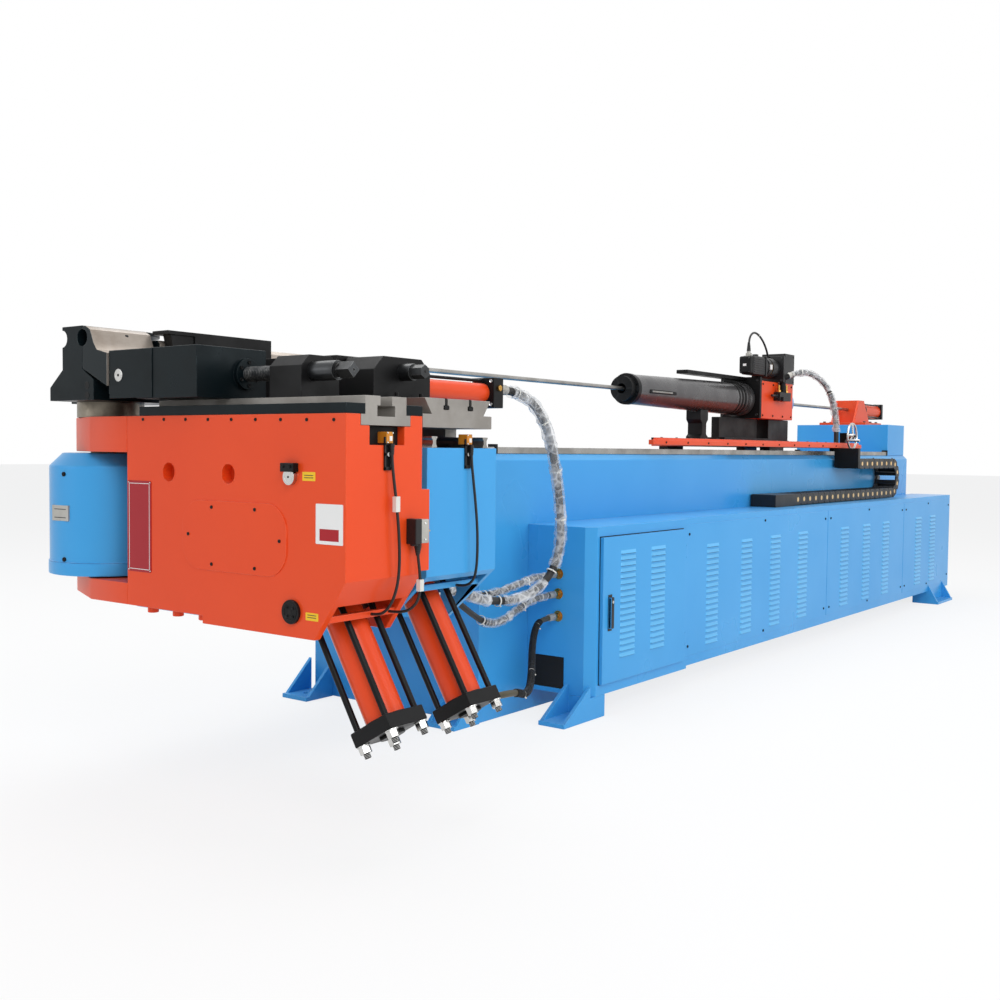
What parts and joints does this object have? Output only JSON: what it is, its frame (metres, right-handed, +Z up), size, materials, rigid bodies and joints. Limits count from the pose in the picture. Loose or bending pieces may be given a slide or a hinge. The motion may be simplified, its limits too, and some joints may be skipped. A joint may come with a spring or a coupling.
{
  "type": "rotary draw pipe bending machine",
  "caption": "Long floor-standing pipe bender: swing arm with clamp, round bend die and pressure die at one end, feed carriage with chuck and mandrel along a bed, cabinets at the side.",
  "frame": {"origin": "middle of the bed's underside on the floor, straight below the pipe's axis", "axes": "+X along the bed from the bending head to the rear, +Y to the side away from the cabinets, +Z up"},
  "size_m": [7.887, 1.9044, 2.0213],
  "materials": {
    "blue_paint": "gloss",
    "orange_paint": "gloss",
    "black_oxide_steel": "satin",
    "ground_steel": "satin",
    "polished_die_steel": "polished",
    "dark_tool_steel": "satin",
    "brass_fittings": "polished",
    "red_plate": "gloss",
    "black_plastic": "matte",
    "black_rubber": "matte"
  },
  "bodies": {
    "frame": {"bed_frame": "blue_paint", "machine_feet": "blue_paint", "hub_cover": "blue_paint", "head_beam": "blue_paint", "pressure_box": "blue_paint", "pressure_rails": "ground_steel", "pressure_cylinder": "orange_paint", "pressure_sensor": "black_plastic", "door_cabinet": "blue_paint", "side_cabinet": "blue_paint", "bed_rails": "ground_steel", "rear_block": "blue_paint", "mandrel_bracket": "orange_paint", "mandrel_cylinder": "orange_paint", "energy_chain": "black_plastic", "hose_fittings": "brass_fittings", "booster_hose": "black_rubber", "upper_hose": "black_rubber", "middle_hose": "black_rubber", "lower_hose": "black_rubber", "box_cable": "black_rubber"},
    "arm": {"arm_body": "orange_paint", "arm_lugs": "orange_paint", "arm_gibs": "dark_tool_steel", "spindle": "ground_steel", "bend_die": "dark_tool_steel", "die_base": "dark_tool_steel", "grip_insert": "dark_tool_steel", "pivot_caps": "black_oxide_steel", "arm_switches": "black_plastic", "arm_plates": "red_plate", "clamp_cylinder": "orange_paint", "arm_cable": "black_rubber", "switch_cable": "black_rubber"},
    "clamp_slide": {"clamp_slide_plate": "ground_steel", "clamp_die": "polished_die_steel", "clamp_holder": "dark_tool_steel", "clamp_nut_block": "black_oxide_steel", "clamp_screw": "ground_steel"},
    "pressure_slide": {"pressure_slide_plate": "ground_steel", "pressure_block": "black_oxide_steel", "pressure_screw": "ground_steel", "booster_cylinder": "orange_paint", "pressure_holder": "black_oxide_steel"},
    "pressure_die_bar": {"pressure_die": "polished_die_steel"},
    "carriage": {"carriage_plate": "orange_paint", "carriage_blocks": "black_oxide_steel", "chuck_base": "black_oxide_steel", "front_support": "black_oxide_steel", "gearbox": "orange_paint", "yoke_frame": "black_oxide_steel", "servo_drive": "black_oxide_steel", "carriage_brackets": "black_oxide_steel", "motor_cable": "black_rubber", "carriage_hose": "black_rubber"},
    "chuck": {"chuck_tube": "black_oxide_steel", "chuck_collet": "black_oxide_steel"},
    "wheel": {"handwheel": "ground_steel"},
    "mandrel": {"mandrel_rod": "ground_steel"},
    "door": {"cabinet_door": "blue_paint"}
  },
  "joints": [
    {"name": "arm_swing", "type": "hinge", "parent": "frame", "child": "arm", "pos_m": [-4.34, 0.171, 1], "axis": [0, 0, -1], "range_deg": [0, 180]},
    {"name": "clamp_travel", "type": "slide", "parent": "arm", "child": "clamp_slide", "axis": [0, -1, 0], "range_m": [0, 0.06]},
    {"name": "pressure_travel", "type": "slide", "parent": "frame", "child": "pressure_slide", "axis": [0, -1, 0], "range_m": [0, 0.06]},
    {"name": "boost_travel", "type": "slide", "parent": "pressure_slide", "child": "pressure_die_bar", "axis": [1, 0, 0], "range_m": [0, 0.15]},
    {"name": "carriage_feed", "type": "slide", "parent": "frame", "child": "carriage", "axis": [-1, 0, 0], "range_m": [0, 1.5]},
    {"name": "chuck_turn", "type": "hinge", "parent": "carriage", "child": "chuck", "pos_m": [0.45, 0, 1.56], "axis": [1, 0, 0], "continuous": true},
    {"name": "handwheel_turn", "type": "hinge", "parent": "carriage", "child": "wheel", "pos_m": [1.369, -0.5, 1.318], "axis": [0, 1, 0], "continuous": true},
    {"name": "mandrel_travel", "type": "slide", "parent": "frame", "child": "mandrel", "axis": [1, 0, 0], "range_m": [0, 0.06]},
    {"name": "cabinet_door_hinge", "type": "hinge", "parent": "frame", "child": "door", "pos_m": [-1.699, -0.774, 0.481], "axis": [0, 0, 1], "range_deg": [0, 110]}
  ]
}
